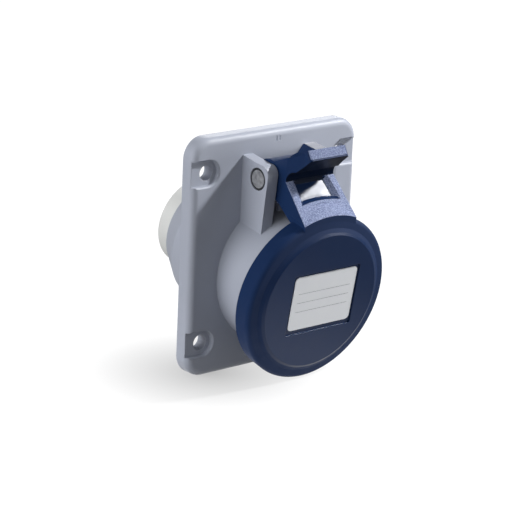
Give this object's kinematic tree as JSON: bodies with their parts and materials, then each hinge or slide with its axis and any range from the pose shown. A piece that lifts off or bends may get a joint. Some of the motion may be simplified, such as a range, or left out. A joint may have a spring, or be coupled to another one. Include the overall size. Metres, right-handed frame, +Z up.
{
  "type": "industrial panel socket",
  "caption": "Inclined round panel socket: flange with screw pockets, tilted collar with shrouded pin contacts, sprung hinged lid with thumb bar and bare label.",
  "frame": {"origin": "centre of the flange's rear face, which is the centre of its four screw holes", "axes": "+X to the right for someone who faces the socket, -Y out of the panel towards that person, +Z up; the socket's own axis points out along -Y and 10 degrees down"},
  "size_m": [0.073, 0.0763, 0.084],
  "materials": {
    "housing_plastic": "fine satin moulding, mid grey",
    "seal_rubber": "matt black",
    "lid_plastic": "dark blue, smooth with textured grip faces",
    "pin_steel": "bright, faintly mottled",
    "spring_steel": "drawn wire and strip",
    "insert_plastic": "satin, light grey",
    "carrier_plastic": "satin, off-white",
    "contact_brass": "turned",
    "screw_steel": "zinc plated",
    "label_foil": "silver-grey film with plain rules"
  },
  "bodies": {
    "socket": {"housing": "housing_plastic", "flange_gasket": "seal_rubber", "hinge_pin": "pin_steel", "lid_spring": "spring_steel", "contact_insert": "insert_plastic", "terminal_carrier": "carrier_plastic", "phase_contact": "contact_brass", "neutral_contact": "contact_brass", "earth_contact": "contact_brass", "phase_contact_clip": "spring_steel", "neutral_contact_clip": "spring_steel", "earth_contact_clip": "spring_steel", "phase_terminal_screw": "screw_steel", "neutral_terminal_screw": "screw_steel", "earth_terminal_screw": "screw_steel", "carrier_screw": "screw_steel", "insert_screw_left": "screw_steel", "insert_screw_right": "screw_steel"},
    "lid": {"lid": "lid_plastic", "lid_seal": "seal_rubber", "rating_label": "label_foil"}
  },
  "joints": [
    {"name": "lid_hinge", "type": "hinge", "parent": "socket", "child": "lid", "pos_m": [0, -0.0142, 0.0281], "axis": [-1, 0, 0], "range_deg": [0, 65], "stiffness_Nm_per_rad": 0.06, "springref_deg": -28.65, "deforming": ["lid_spring"]}
  ]
}
